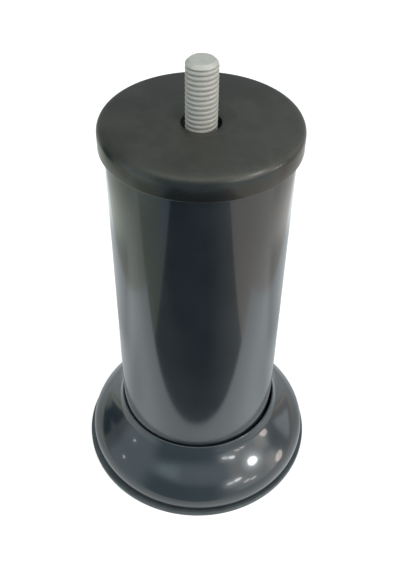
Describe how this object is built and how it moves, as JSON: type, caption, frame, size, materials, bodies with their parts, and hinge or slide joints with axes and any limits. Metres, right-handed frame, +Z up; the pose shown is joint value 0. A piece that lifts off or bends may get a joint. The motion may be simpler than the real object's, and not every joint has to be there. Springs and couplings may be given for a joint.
{
  "type": "sofa leg",
  "caption": "Round sofa leg: lacquered steel tube with a bell-shaped foot, a black plastic cap and an M8 stud that screws up into the seat frame.",
  "frame": {"origin": "centre of the underside, on the floor", "axes": "+Z up along the axis of the tube; the leg is round, and +Y is the side away from the viewer"},
  "size_m": [0.0728, 0.0728, 0.135],
  "materials": {
    "cap_plastic": "satin moulded black",
    "zinc": "zinc plated",
    "lacquer": "gloss anthracite lacquer",
    "base_plastic": "matt moulded dark grey"
  },
  "bodies": {
    "root": {"top_cap": "cap_plastic", "stud_bolt": "zinc", "leg_tube": "lacquer", "bell_cover": "lacquer", "base_plug": "base_plastic"}
  },
  "joints": []
}
